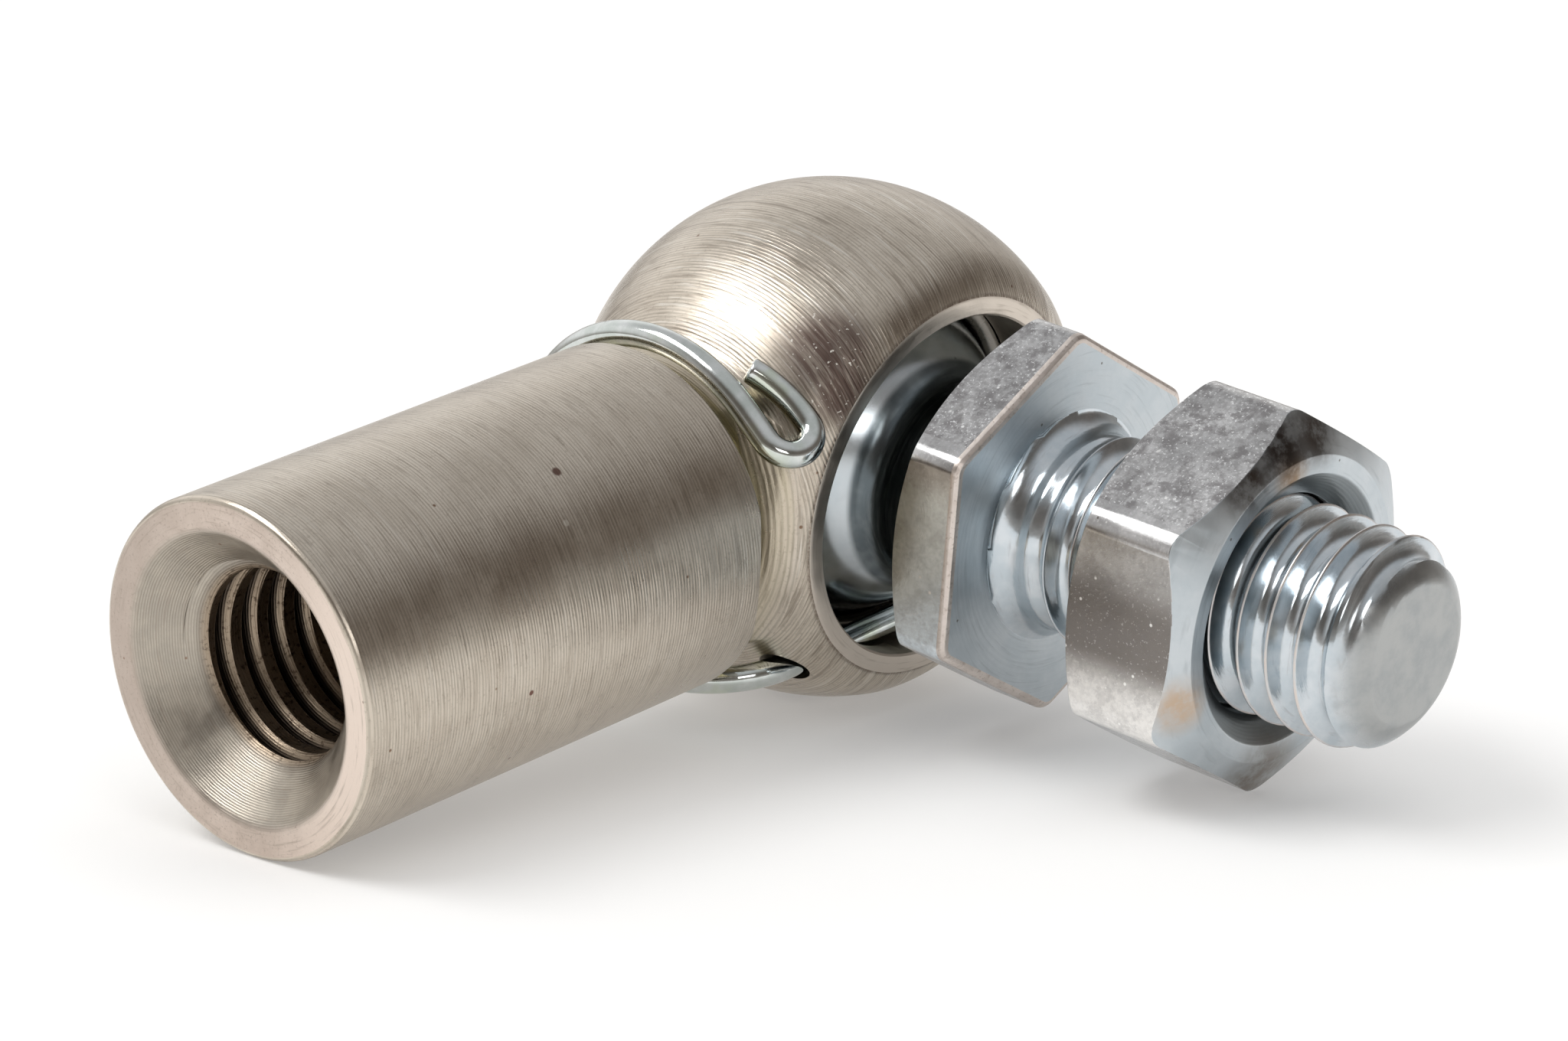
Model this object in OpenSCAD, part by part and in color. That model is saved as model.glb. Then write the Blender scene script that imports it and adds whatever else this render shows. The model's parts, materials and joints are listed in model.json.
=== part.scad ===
// Angled ball joint rod end: a turned socket with a tapped shank takes a threaded
// ball stud at a right angle. A sprung ring holds the ball in and a wire clip, put
// through the head and round the neck, keeps it from being pulled out.
// It lies as it comes to rest: on the head, the shank's end edge and a corner of the nut.

/* [Socket] */
// Ball diameter; the shank has the same diameter
ball_d = 13; // [12:0.5:15]
// Wall of the round head outside the ball
head_wall = 3.15; // [2.9:0.05:3.6]
// Ball centre to the end of the shank
shank_length = 30; // [28:0.5:40]
// Depth of the full thread in the shank
tap_depth = 16; // [12:0.5:16]
// Centre of the clip's hole to the flat rim of the mouth
mouth_lip = 1.6; // [1.4:0.05:2]

/* [Thread] */
// Thread diameter of the shank's hole, the stud and the nut
thread_d = 8; // [7:0.5:9]

/* [Ball stud] */
// Width across the flats, of the stud's hexagon and of the nut, over the ball's diameter
hex_over_ball = -0.3; // [-0.5:0.1:2]
// Ball centre to the back of the stud's hexagon
hex_back = 8.7; // [8.5:0.05:12]
// Thickness of the stud's hexagon
hex_thick = 2.65; // [2:0.05:4]
// Ball centre to the end of the stud
stud_length = 27; // [26:0.5:40]
// Turn of the stud about its own length
stud_turn = 4; // [0:1:15]
// Swing of the stud above the mouth's axis, as it lies
stud_lift = 2.75; // [0:0.25:6]

/* [Nut] */
// Height of the nut
nut_height = 5.4; // [5:0.1:6.5]
// Space between the stud's hexagon and the nut, where a lever is clamped
clamp_gap = 4.95; // [2:0.05:6]

/* [Safety clip] */
// Diameter of the clip's wire
wire_d = 1; // [0.8:0.05:1.1]
// How far the bow is wound round the neck
bow_sweep = 227; // [215:1:235]
// End of the wire after its loop
tail_length = 2.8; // [1.5:0.1:3.2]

/* [Hidden] */

round_fn = 96;
wire_fn = 32;
arc_steps = 12;

steel_warm = [0.63, 0.59, 0.52];
zinc_blue = [0.67, 0.70, 0.72];
zinc_grey = [0.68, 0.68, 0.66];
spring_dark = [0.46, 0.43, 0.39];
zinc_wire = [0.76, 0.78, 0.76];

// Round head, neck and shank, seen from the ball's centre along the shank
ball_r = ball_d / 2;
shank_r = ball_r;
head_r = ball_r + head_wall;
neck_r = shank_r - 0.75;
neck_fillet = 1.0;
shoulder_fillet = 0.45;
shank_start = head_r + 0.85;
shank_break = 0.2;
neck_edge_break = 0.12;
head_fillet_centre = [neck_r + neck_fillet, sqrt(pow(head_r + neck_fillet, 2) - pow(neck_r + neck_fillet, 2))];
head_fillet_angle = atan2(head_fillet_centre[1], head_fillet_centre[0]);

// Tapped hole with its countersink and the drill's point
thread_r = thread_d / 2;
countersink_r = min(thread_r + 1.3, shank_r - 0.8);
countersink_depth = countersink_r - thread_r;
pilot_r = thread_r * 0.85;
pilot_run = 1.5;
drill_point = pilot_r / tan(59);

// Clip wire: the leg passes just clear of the ball, the bow just clear of the neck
wire_r = wire_d / 2;
weld_r = wire_r + 0.004;
leg_radius = ball_r + wire_r + 0.12;
leg_angle = -124.7;
leg_out = -leg_radius * cos(leg_angle);
leg_end = head_r - 2.25;
clip_hole_r = wire_r + 0.2;
bow_radius = neck_r + wire_r + 0.25;
leg_bend = sqrt(pow(leg_radius, 2) - pow(bow_radius, 2));
bow_at = shank_start - 1.2;
bow_start = leg_angle + acos(bow_radius / leg_radius);
leg_length = leg_end + bow_at - leg_bend;

// Loop of the clip: tilted outwards, and so wide that its far strand comes to lie on the head.
// The tail then closes in on the near strand until only a small gap is left.
loop_lead = 1.4;
loop_tilt = 12;
loop_gap = 0.12;
strand_from_ball = head_r + wire_r + 0.1;
loop_slope = bow_at * cos(loop_tilt) - bow_radius * sin(loop_tilt);
loop_drop = pow(norm([bow_radius, loop_lead, bow_at]), 2) - pow(strand_from_ball, 2);
loop_radius = (loop_slope - sqrt(pow(loop_slope, 2) - loop_drop)) / 2;
tail_curve = pow(tail_length, 2) / 2 / (2 * loop_radius - wire_d - loop_gap);

// Hollow for the ball and its mouth
ball_play = 0.06;
hollow_r = ball_r + ball_play;
mouth_out = leg_out + mouth_lip;
mouth_break = 0.08;

// Flat rim of the mouth and the curve by which the round head runs in to it
rim_width = 0.62;
rim_blend = 3;
rim_r = min(hollow_r + rim_width, sqrt(pow(head_r - 0.1, 2) - pow(mouth_out, 2)));
rim_reach = norm([rim_r, mouth_out]);
blend_reach = head_r - rim_blend;
blend_lean = atan2(mouth_out, rim_r)
    - acos((pow(rim_reach, 2) + pow(blend_reach, 2) - pow(rim_blend, 2)) / (2 * rim_reach * blend_reach));
blend_centre = blend_reach * [cos(blend_lean), sin(blend_lean)];
blend_from = atan2(mouth_out - blend_centre[1], rim_r - blend_centre[0]);
blend_to = blend_lean + 8;

// Sprung ring and its groove
ring_wire_r = 0.5;
ring_out = 0.4 * ball_r;
ring_radius = sqrt(pow(ball_r + ring_wire_r + 0.09, 2) - pow(ring_out, 2));
ring_gap = 28;
groove_half = ring_wire_r + 0.08;
groove_r = ring_radius + ring_wire_r + 0.5;

// Stud: waist between ball and hexagon, thread and its rounded end
waist_r = 0.577 * ball_r;
waist_fillet = 0.6;
ball_fillet = 1.2;
ball_fillet_centre = [waist_r + ball_fillet,
                      sqrt(pow(ball_r + ball_fillet, 2) - pow(waist_r + ball_fillet, 2))];
ball_fillet_angle = atan2(ball_fillet_centre[1], ball_fillet_centre[0]);
shoulder_out = hex_back + hex_thick;
root_fillet = 0.5;
end_round = 1.0;
hex_af = ball_d + hex_over_ball;
corner_r = hex_af * 0.567;
hex_break = 0.3;

// Nut: chamfered on both faces, with a countersunk thread
nut_out = shoulder_out + clamp_gap;
nut_bore_r = thread_r + 0.06;
nut_mouth_r = thread_r + 1.0;
nut_face_r = hex_af * 0.4585;
chamfer_slope = tan(30);

// Lie of the joint: shank dipped and stud lowered until shank edge and nut corner touch down
shank_touch = shank_length - shank_break;
dip = asin(head_r / norm([shank_touch, shank_r])) - atan2(shank_r, shank_touch);
nut_touch_out = nut_out + nut_height - (corner_r - nut_face_r) * chamfer_slope;
touch_along = nut_touch_out * cos(dip);
touch_across = corner_r * cos(stud_turn) * cos(dip);
touch_drop = head_r - corner_r * sin(stud_turn) * sin(dip);
stud_dip = asin(touch_drop / norm([touch_along, touch_across])) - atan2(touch_across, touch_along);
socket_roll = stud_dip + stud_lift;

// Middle of the ground that the joint covers, measured from the ball's centre
reach_left = shank_length * cos(dip) + (shank_r - shank_break) * sin(dip);
reach_front = stud_length * cos(stud_dip) + (thread_r - end_round) * sin(stud_dip);
ground_middle = [(head_r - reach_left) / 2, (head_r - reach_front) / 2];

// Points of an arc in the plane, from one angle to another
function arc(centre, radius, from, to) =
    [for (i = [0:arc_steps]) centre + radius * [cos(from + (to - from) * i / arc_steps),
                                                sin(from + (to - from) * i / arc_steps)]];

// Sets the joint down as it rests, with its origin under the middle of the ground it covers
module lay() {
    translate([-ground_middle[0], -ground_middle[1], head_r])
        rotate([0, -dip, 0])
            rotate([socket_roll, 0, 0])
                children();
}

// Turns a shape that runs up Z so that it runs along the shank
module along_shank() {
    rotate([0, -90, 0]) children();
}

// Turns a shape that runs up Z so that it runs out of the mouth
module along_mouth() {
    rotate([90, 0, 0]) children();
}

// Turns a shape that runs up Z so that it runs along the swung stud
module along_stud() {
    rotate([-stud_lift, 0, 0])
        rotate([0, stud_turn, 0])
            along_mouth() children();
}

// Head, filleted neck and shank as one turned outline
module socket_outline() {
    polygon(concat(
        arc([0, 0], head_r, -90, 0),
        arc([0, 0], head_r, 0, head_fillet_angle),
        arc(head_fillet_centre, neck_fillet, head_fillet_angle + 180, 180),
        arc([neck_r + shoulder_fillet, shank_start - shoulder_fillet], shoulder_fillet, 180, 90),
        [[shank_r - neck_edge_break, shank_start],
         [shank_r, shank_start + neck_edge_break],
         [shank_r, shank_length - shank_break],
         [shank_r - shank_break, shank_length],
         [0, shank_length]]
    ));
}

// Ball seat, bore, ring groove and eased mouth as one turned hollow
module hollow_outline() {
    polygon(concat(
        arc([0, 0], hollow_r, -90, 0),
        [[hollow_r, ring_out - groove_half],
         [groove_r, ring_out - groove_half],
         [groove_r, ring_out + groove_half],
         [hollow_r, ring_out + groove_half],
         [hollow_r, mouth_out - mouth_break],
         [hollow_r + mouth_break + 1, mouth_out + 1],
         [0, mouth_out + 1]]
    ));
}

// Countersink, thread and drill point, measured from the ball's centre
module tapped_outline() {
    tap_end = shank_length - tap_depth;
    polygon([
        [0, shank_length + 1],
        [countersink_r + 1, shank_length + 1],
        [thread_r, shank_length - countersink_depth],
        [thread_r, tap_end],
        [pilot_r, tap_end - (thread_r - pilot_r)],
        [pilot_r, tap_end - pilot_run],
        [0, tap_end - pilot_run - drill_point]
    ]);
}

// All that lies in front of the flat rim and of the curve outside it
module rim_cut_outline() {
    edge = blend_centre + rim_blend * [cos(blend_to), sin(blend_to)];
    run_out = rim_blend * [sin(blend_to), -cos(blend_to)];
    polygon(concat(
        [[0, mouth_out]],
        arc(blend_centre, rim_blend, blend_from, blend_to),
        [edge + run_out,
         [head_r + 2, head_r + 1],
         [0, head_r + 1]]
    ));
}

module ball_socket() {
    color(steel_warm)
    lay()
    difference() {
        along_shank() rotate_extrude($fn = round_fn) socket_outline();
        along_mouth() rotate_extrude($fn = round_fn) rim_cut_outline();
        along_mouth() rotate_extrude($fn = round_fn) hollow_outline();
        along_shank() rotate_extrude($fn = round_fn) tapped_outline();
        translate([head_r, -leg_out, leg_radius * sin(leg_angle)])
            along_shank() cylinder(r = clip_hole_r, h = head_r + bow_at, $fn = wire_fn);
    }
}

// Six flats of a given height, with a corner along X
module hexagon(height) {
    cylinder(r = hex_af / sqrt(3), h = height, $fn = 6);
}

// Stud's hexagon, with its edges broken on the face that the lever bears on
module broken_hexagon() {
    translate([0, 0, hex_back]) hexagon(hex_thick - hex_break);
    translate([0, 0, shoulder_out - hex_break])
        cylinder(r1 = hex_af / sqrt(3), r2 = (hex_af - 2 * hex_break) / sqrt(3), h = hex_break, $fn = 6);
}

// Ball, filleted waist, root fillet and rounded end as one turned outline
module stud_outline() {
    polygon(concat(
        arc([0, 0], ball_r, -90, 0),
        arc([0, 0], ball_r, 0, ball_fillet_angle),
        arc(ball_fillet_centre, ball_fillet, ball_fillet_angle + 180, 180),
        arc([waist_r + waist_fillet, hex_back - waist_fillet], waist_fillet, 180, 90),
        [[waist_r + waist_fillet, hex_back + hex_thick / 2],
         [thread_r + root_fillet, hex_back + hex_thick / 2]],
        arc([thread_r + root_fillet, shoulder_out + root_fillet], root_fillet, 270, 180),
        arc([thread_r - end_round, stud_length - end_round], end_round, 0, 90),
        [[0, stud_length]]
    ));
}

// Round envelope of the stud's hexagon, chamfered at the back
module hex_round_outline() {
    flat_r = hex_af / 2;
    polygon([
        [0, hex_back],
        [flat_r, hex_back],
        [corner_r, hex_back + (corner_r - flat_r) * chamfer_slope],
        [corner_r, shoulder_out],
        [0, shoulder_out]
    ]);
}

module ball_stud() {
    color(zinc_blue)
    lay()
    along_stud()
    union() {
        rotate_extrude($fn = round_fn) stud_outline();
        intersection() {
            rotate([0, 0, 90]) broken_hexagon();
            rotate_extrude($fn = round_fn) hex_round_outline();
        }
    }
}

// Nut's round envelope with a chamfer at each face
module nut_round_outline() {
    drop = (corner_r - nut_face_r) * chamfer_slope;
    polygon([
        [0, 0],
        [nut_face_r, 0],
        [corner_r, drop],
        [corner_r, nut_height - drop],
        [nut_face_r, nut_height],
        [0, nut_height]
    ]);
}

// Nut's thread with a countersink at each face
module nut_bore_outline() {
    sink = (nut_mouth_r - nut_bore_r) * chamfer_slope;
    polygon([
        [0, -1],
        [nut_mouth_r, -1],
        [nut_mouth_r, 0],
        [nut_bore_r, sink],
        [nut_bore_r, nut_height - sink],
        [nut_mouth_r, nut_height],
        [nut_mouth_r, nut_height + 1],
        [0, nut_height + 1]
    ]);
}

module hex_nut() {
    color(zinc_grey)
    lay()
    along_stud()
    translate([0, 0, nut_out])
    difference() {
        intersection() {
            rotate([0, 0, 90]) hexagon(nut_height);
            rotate_extrude($fn = round_fn) nut_round_outline();
        }
        rotate_extrude($fn = round_fn) nut_bore_outline();
    }
}

module spring_ring() {
    color(spring_dark)
    lay()
    along_mouth()
    translate([0, 0, ring_out])
    rotate([0, 0, 90 + ring_gap / 2])
    rotate_extrude(angle = 360 - ring_gap, $fn = round_fn)
        translate([ring_radius, 0]) circle(r = ring_wire_r, $fn = wire_fn);
}

// Wire bent as on a bending machine: each step is [feed, roll, bend radius, bend angle].
// A ball a hair larger than the wire joins each run to the next.
module bent_wire(steps) {
    if (len(steps) > 0) {
        feed = steps[0][0];
        bend_r = steps[0][2];
        turn = steps[0][3];
        if (feed > 0) {
            cylinder(r = wire_r, h = feed, $fn = wire_fn);
        }
        translate([0, 0, feed])
        rotate([0, 0, steps[0][1]])
        translate([bend_r, 0, 0]) {
            rotate([90, 0, 180])
                rotate_extrude(angle = turn, $fn = round_fn)
                    translate([bend_r, 0]) circle(r = wire_r, $fn = wire_fn);
            if (feed > 0) {
                translate([-bend_r, 0, 0]) sphere(r = weld_r, $fn = wire_fn);
            }
            rotate([0, turn, 0])
            translate([-bend_r, 0, 0]) {
                if (len(steps) > 1) {
                    sphere(r = weld_r, $fn = wire_fn);
                }
                bent_wire([for (i = [1:1:len(steps) - 1]) steps[i]]);
            }
        }
    }
}

module safety_clip() {
    color(zinc_wire)
    lay()
    translate([leg_end, -leg_out, leg_radius * sin(leg_angle)])
    along_shank()
    bent_wire([
        [leg_length, -bow_start, leg_bend, 90],
        [0, -90, bow_radius, bow_sweep],
        [loop_lead, 90 + loop_tilt, loop_radius, 180],
        [0, 0, tail_curve, tail_length / tail_curve * 180 / PI]
    ]);
}

ball_socket();
ball_stud();
hex_nut();
spring_ring();
safety_clip();
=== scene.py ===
import json
import math

import bmesh
import bpy
from mathutils import Matrix, Vector


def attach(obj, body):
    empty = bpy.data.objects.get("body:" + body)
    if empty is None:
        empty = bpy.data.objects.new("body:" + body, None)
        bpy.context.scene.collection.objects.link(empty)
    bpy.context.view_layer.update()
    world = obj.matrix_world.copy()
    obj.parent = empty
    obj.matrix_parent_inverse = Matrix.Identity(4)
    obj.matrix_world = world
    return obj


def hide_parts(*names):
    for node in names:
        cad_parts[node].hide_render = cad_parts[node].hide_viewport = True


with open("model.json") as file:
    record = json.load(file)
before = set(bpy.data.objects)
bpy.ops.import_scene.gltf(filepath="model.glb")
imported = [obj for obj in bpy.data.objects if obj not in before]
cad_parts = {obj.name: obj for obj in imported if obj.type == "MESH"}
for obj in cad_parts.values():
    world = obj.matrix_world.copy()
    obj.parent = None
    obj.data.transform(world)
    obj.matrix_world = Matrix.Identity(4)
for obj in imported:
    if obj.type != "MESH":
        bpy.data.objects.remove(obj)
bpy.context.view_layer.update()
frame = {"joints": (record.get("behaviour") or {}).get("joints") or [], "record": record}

# Where the joint lies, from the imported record: ball centre, shank and mouth
JOINTS = {joint["name"]: joint for joint in frame["joints"]}
MOUNTS = {mount["name"]: mount for mount in frame["record"]["mounts"]}
BALL_AT = Vector(JOINTS["stud_spin"]["pos_m"])
SHANK_WAY = Vector(MOUNTS["rod_thread"]["axis"])
MOUTH_WAY = Vector(JOINTS["stud_spin"]["axis"])
STUD_LIFT = 2.75
STUD_TURN = 4

# Sizes in millimetres, from the ball's centre, as in the part's source
MM = 0.001
HEAD_R = 9.646
SHANK_R = 6.5
SHANK_END = 30.0
SHANK_START = 10.5
NECK_R = 5.75
NECK_FILLET = 1.0
SHOULDER_FILLET = 0.45
THREAD_R = 4.0
THREAD_ROOT = 3.27
PITCH = 1.25
PILOT_R = 3.4
TAP_END = 14.0
SINK_R = 5.3
HOLLOW_R = 6.56
MOUTH_OUT = 5.653
RIM_R = 7.18
RIM_BLEND = 3.0
RING_OUT = 2.6
RING_R = 6.596
RING_WIRE_R = 0.5
GROOVE_R = 7.596
GROOVE_HALF = 0.58
BALL_R = 6.5
WAIST_R = 3.75
BALL_FILLET = 1.2
ROOT_FILLET = 1.1
ROOT_R = 3.7
END_ROUND = 1.5
HEX_BACK = 8.7
HEX_FACE = 11.35
HEX_AF = 12.7
STUD_END = 27.0
NUT_BACK = 16.3
NUT_FACE = 21.7
NUT_FACE_R = 5.65
CORNER_R = 7.2
NUT_BORE_R = 4.06
NUT_MOUTH_R = 5.0
WIRE_R = 0.5
CLIP_HOLE_R = 0.7
LEG_END = 7.4
LEG_R = 7.12
LEG_AT = math.radians(-124.7)
LEG_OUT = -LEG_R * math.cos(LEG_AT)
LEG_DOWN = -LEG_R * math.sin(LEG_AT)
BOW_R = 6.5
BOW_AT = 9.3
LOOP_R = 0.942
TAIL = 2.8
TAIL_CURVE = 5.13

# Small edges, ends and corners
SHOULDER_EDGE = 0.12
SHANK_EDGE = 0.28
SINK_EDGE = 0.25
SINK_EDGE_R = 0.6
TAP_SPARE = 1.5
DRILL_POINT = math.radians(59)
SEAT_EDGE = 0.08
WAIST_FILLET = 0.6
STUD_CORNER = 0.42
STUD_EDGE = 0.3
STUD_EASE = 0.1
PLAIN_ROOT = 1.2
THREAD_GROWS = 1.4
NUT_CORNER = 0.55
NUT_EASE = 0.11
WIRE_EDGE = 0.12
CHAMFER_SLOPE = math.tan(math.radians(30))
RING_SWEEP = 332
RING_GAP_AT = 104

ROUND = 192
TURN_STEPS = 72


def turn(axis, degrees):
    return Matrix.Rotation(math.radians(degrees), 4, axis)


def lay_matrix():
    """The joint's own axes, shank along -X and mouth along -Y, set down in the row frame"""
    along = -SHANK_WAY.normalized()
    up = along.cross(-MOUTH_WAY).normalized()
    across = up.cross(along)
    turned_axes = Matrix((along, across, up)).transposed().to_4x4()
    return Matrix.Translation(BALL_AT) @ turned_axes


LAY = lay_matrix()
TO_SHANK = turn("Y", -90)
TO_MOUTH = turn("X", 90)
TO_STUD = turn("X", -STUD_LIFT) @ turn("Y", STUD_TURN) @ turn("X", 90)


def verts_of(geom):
    return [g for g in geom if isinstance(g, bmesh.types.BMVert)]


def edges_of(geom):
    return [g for g in geom if isinstance(g, bmesh.types.BMEdge)]


def round_off(bm, edges, offset, segments, clamp=False):
    bmesh.ops.bevel(
        bm, geom=edges, offset=offset, offset_type="OFFSET", affect="EDGES", segments=segments,
        profile=0.5, material=-1, clamp_overlap=clamp,
    )


class Outline:
    """A half outline for turning, drawn as radius and height"""

    def __init__(self, r, z):
        self.bm = bmesh.new()
        self.tip = self.bm.verts.new((r, 0, z))

    def line(self, r, z):
        grown = bmesh.ops.extrude_vert_indiv(self.bm, verts=[self.tip])
        self.tip = grown["verts"][0]
        self.tip.co = (r, 0, z)
        return self

    def arc(self, r, z, degrees, steps):
        grown = bmesh.ops.spin(
            self.bm, geom=[self.tip], cent=(r, 0, z), axis=(0, -1, 0),
            angle=math.radians(degrees), steps=steps,
        )
        self.tip = verts_of(grown["geom_last"])[0]
        return self

    def spun(self, steps=ROUND):
        bm = self.bm
        bmesh.ops.spin(
            bm, geom=bm.verts[:] + bm.edges[:], cent=(0, 0, 0), axis=(0, 0, 1),
            angle=math.tau, steps=steps, use_merge=True,
        )
        close_up(bm)
        return bm


def close_up(bm):
    bmesh.ops.remove_doubles(bm, verts=bm.verts[:], dist=1e-4)
    bmesh.ops.recalc_face_normals(bm, faces=bm.faces[:])


def finish_index(bm, index):
    for face in bm.faces:
        face.material_index = index
    return bm


def scratch_object(bm, finishes):
    mesh = bpy.data.meshes.new("scratch")
    bm.to_mesh(mesh)
    bm.free()
    for finish in finishes:
        mesh.materials.append(finish)
    made = bpy.data.objects.new("scratch", mesh)
    bpy.context.scene.collection.objects.link(made)
    return made


def carve(body, steps, finishes):
    """Cuts, joins or trims a body with each tool in turn, and gives the result back as one mesh"""
    base = scratch_object(body, finishes)
    tools = []
    for how, tool in steps:
        held = scratch_object(tool, finishes)
        tools.append(held)
        work = base.modifiers.new(how, "BOOLEAN")
        work.operation = how
        work.solver = "EXACT"
        work.object = held
    depsgraph = bpy.context.evaluated_depsgraph_get()
    carved = bmesh.new()
    carved.from_mesh(base.evaluated_get(depsgraph).data)
    for used in [base, *tools]:
        mesh = used.data
        bpy.data.objects.remove(used)
        bpy.data.meshes.remove(mesh)
    bmesh.ops.remove_doubles(carved, verts=carved.verts[:], dist=2e-4)
    return carved


def piece(name, bm, finishes, body, node, sharp=32):
    """A finished piece: laid in the row frame, shaded, and riding on its body in place of its node"""
    bm.transform(LAY @ Matrix.Scale(MM, 4))
    mesh = bpy.data.meshes.new(name)
    bm.to_mesh(mesh)
    bm.free()
    for finish in finishes:
        mesh.materials.append(finish)
    mesh.shade_smooth()
    mesh.set_sharp_from_angle(angle=math.radians(sharp))
    made = bpy.data.objects.new(name, mesh)
    bpy.context.scene.collection.objects.link(made)
    even = made.modifiers.new("even_shading", "WEIGHTED_NORMAL")
    even.keep_sharp = True
    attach(made, body)
    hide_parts(node)
    return made


# One pitch of a rolled thread: share of the pitch, share of the depth
THREAD_FORM = [
    (0.09, 0.012), (0.17, 0.06), (0.25, 0.17), (0.33, 0.36), (0.41, 0.68), (0.45, 0.88),
    (0.468, 0.965), (0.485, 1.0), (0.515, 1.0), (0.532, 0.965),
    (0.55, 0.88), (0.59, 0.68), (0.67, 0.36), (0.75, 0.17), (0.83, 0.06), (0.91, 0.012), (1.0, 0.0),
]


def helix(crest, root, low, high, shape=None):
    """A threaded rod between two heights; shape limits the radius at a height"""
    start = low - 2 * PITCH
    ridge = Outline(root, start)
    for share, deep in THREAD_FORM:
        ridge.line(root + (crest - root) * deep, start + PITCH * share)
    bm = ridge.bm
    turns = math.ceil((high - low) / PITCH) + 4
    bmesh.ops.spin(
        bm, geom=bm.verts[:] + bm.edges[:], cent=(0, 0, 0), axis=(0, 0, 1),
        dvec=(0, 0, PITCH / TURN_STEPS), angle=math.tau * turns, steps=TURN_STEPS * turns,
    )
    bmesh.ops.remove_doubles(bm, verts=bm.verts[:], dist=1e-3)
    for height, way in ((low, -1), (high, 1)):
        bmesh.ops.bisect_plane(
            bm, geom=bm.verts[:] + bm.edges[:] + bm.faces[:], plane_co=(0, 0, height),
            plane_no=(0, 0, way), clear_outer=True,
        )
    if shape:
        for vert in bm.verts:
            wide = math.hypot(vert.co.x, vert.co.y)
            fit = shape(wide, vert.co.z) / wide
            vert.co.x *= fit
            vert.co.y *= fit
    bmesh.ops.holes_fill(bm, edges=[edge for edge in bm.edges if edge.is_boundary], sides=0)
    bmesh.ops.recalc_face_normals(bm, faces=bm.faces[:])
    return bm


def hexagon(low, high, corner_round, edge_round):
    """A hexagon bar with rounded corners and a broken edge on its far face, one corner up Y"""
    bm = bmesh.new()
    bmesh.ops.create_circle(bm, cap_ends=True, segments=6, radius=HEX_AF / math.sqrt(3))
    grown = bmesh.ops.extrude_face_region(bm, geom=bm.faces[:])
    bmesh.ops.translate(bm, verts=verts_of(grown["geom"]), vec=(0, 0, high - low))
    bmesh.ops.translate(bm, verts=bm.verts[:], vec=(0, 0, low))
    bmesh.ops.recalc_face_normals(bm, faces=bm.faces[:])
    upright = [e for e in bm.edges if abs(e.verts[0].co.z - e.verts[1].co.z) > 0.1]
    round_off(bm, upright, corner_round, 5)
    if edge_round:
        rims = [e for e in bm.edges if all(v.co.z > high - 1e-4 for v in e.verts)]
        round_off(bm, rims, edge_round, 3)
    return bm


def ease_edges(bm, past, offset):
    """Rounds off every edge that is sharper than a given angle"""
    bmesh.ops.dissolve_limit(
        bm, angle_limit=math.radians(0.4), verts=bm.verts[:], edges=bm.edges[:],
        delimit={"MATERIAL"},
    )
    sharp = [e for e in bm.edges if e.is_manifold and e.calc_face_angle() > math.radians(past)]
    round_off(bm, sharp, offset, 3, clamp=True)


def drill(radius, depth, place):
    bm = bmesh.new()
    bmesh.ops.create_cone(bm, cap_ends=True, segments=32, radius1=radius, radius2=radius, depth=depth)
    bm.transform(place)
    return bm


# Materials, on object coordinates turned into each piece's own axes

class Nodes:
    """Adds and joins nodes in one tree"""

    def __init__(self, tree):
        self.tree = tree

    def add(self, kind, **settings):
        node = self.tree.nodes.new(kind)
        for name, value in settings.items():
            setattr(node, name, value)
        return node

    def join(self, source, target):
        if isinstance(source, bpy.types.NodeSocket):
            self.tree.links.new(source, target)
        else:
            target.default_value = source

    def sum(self, how, one, two=0.0, three=0.0):
        node = self.add("ShaderNodeMath", operation=how)
        for value, socket in zip((one, two, three), node.inputs):
            self.join(value, socket)
        return node.outputs[0]

    def vector(self, x, y, z):
        node = self.add("ShaderNodeCombineXYZ")
        for value, socket in zip((x, y, z), node.inputs):
            self.join(value, socket)
        return node.outputs[0]

    def noise(self, at, scale, detail=2.0, rough=0.5):
        node = self.add("ShaderNodeTexNoise")
        self.join(at, node.inputs["Vector"])
        node.inputs["Scale"].default_value = scale
        node.inputs["Detail"].default_value = detail
        node.inputs["Roughness"].default_value = rough
        return node.outputs[0]

    def range(self, value, low, high, to_low=0.0, to_high=1.0):
        node = self.add("ShaderNodeMapRange", interpolation_type="SMOOTHSTEP")
        for socket, given in zip(node.inputs, (value, low, high, to_low, to_high)):
            self.join(given, socket)
        return node.outputs[0]

    def blend(self, share, one, two):
        node = self.add("ShaderNodeMix", data_type="RGBA")
        self.join(share, node.inputs[0])
        self.join(one, node.inputs[6])
        self.join(two, node.inputs[7])
        return node.outputs[2]

    def pick(self, share, one, two):
        node = self.add("ShaderNodeMix", data_type="FLOAT")
        self.join(share, node.inputs[0])
        self.join(one, node.inputs[2])
        self.join(two, node.inputs[3])
        return node.outputs[0]

    def both(self, one, two):
        return self.sum("MULTIPLY", one, two)


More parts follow.
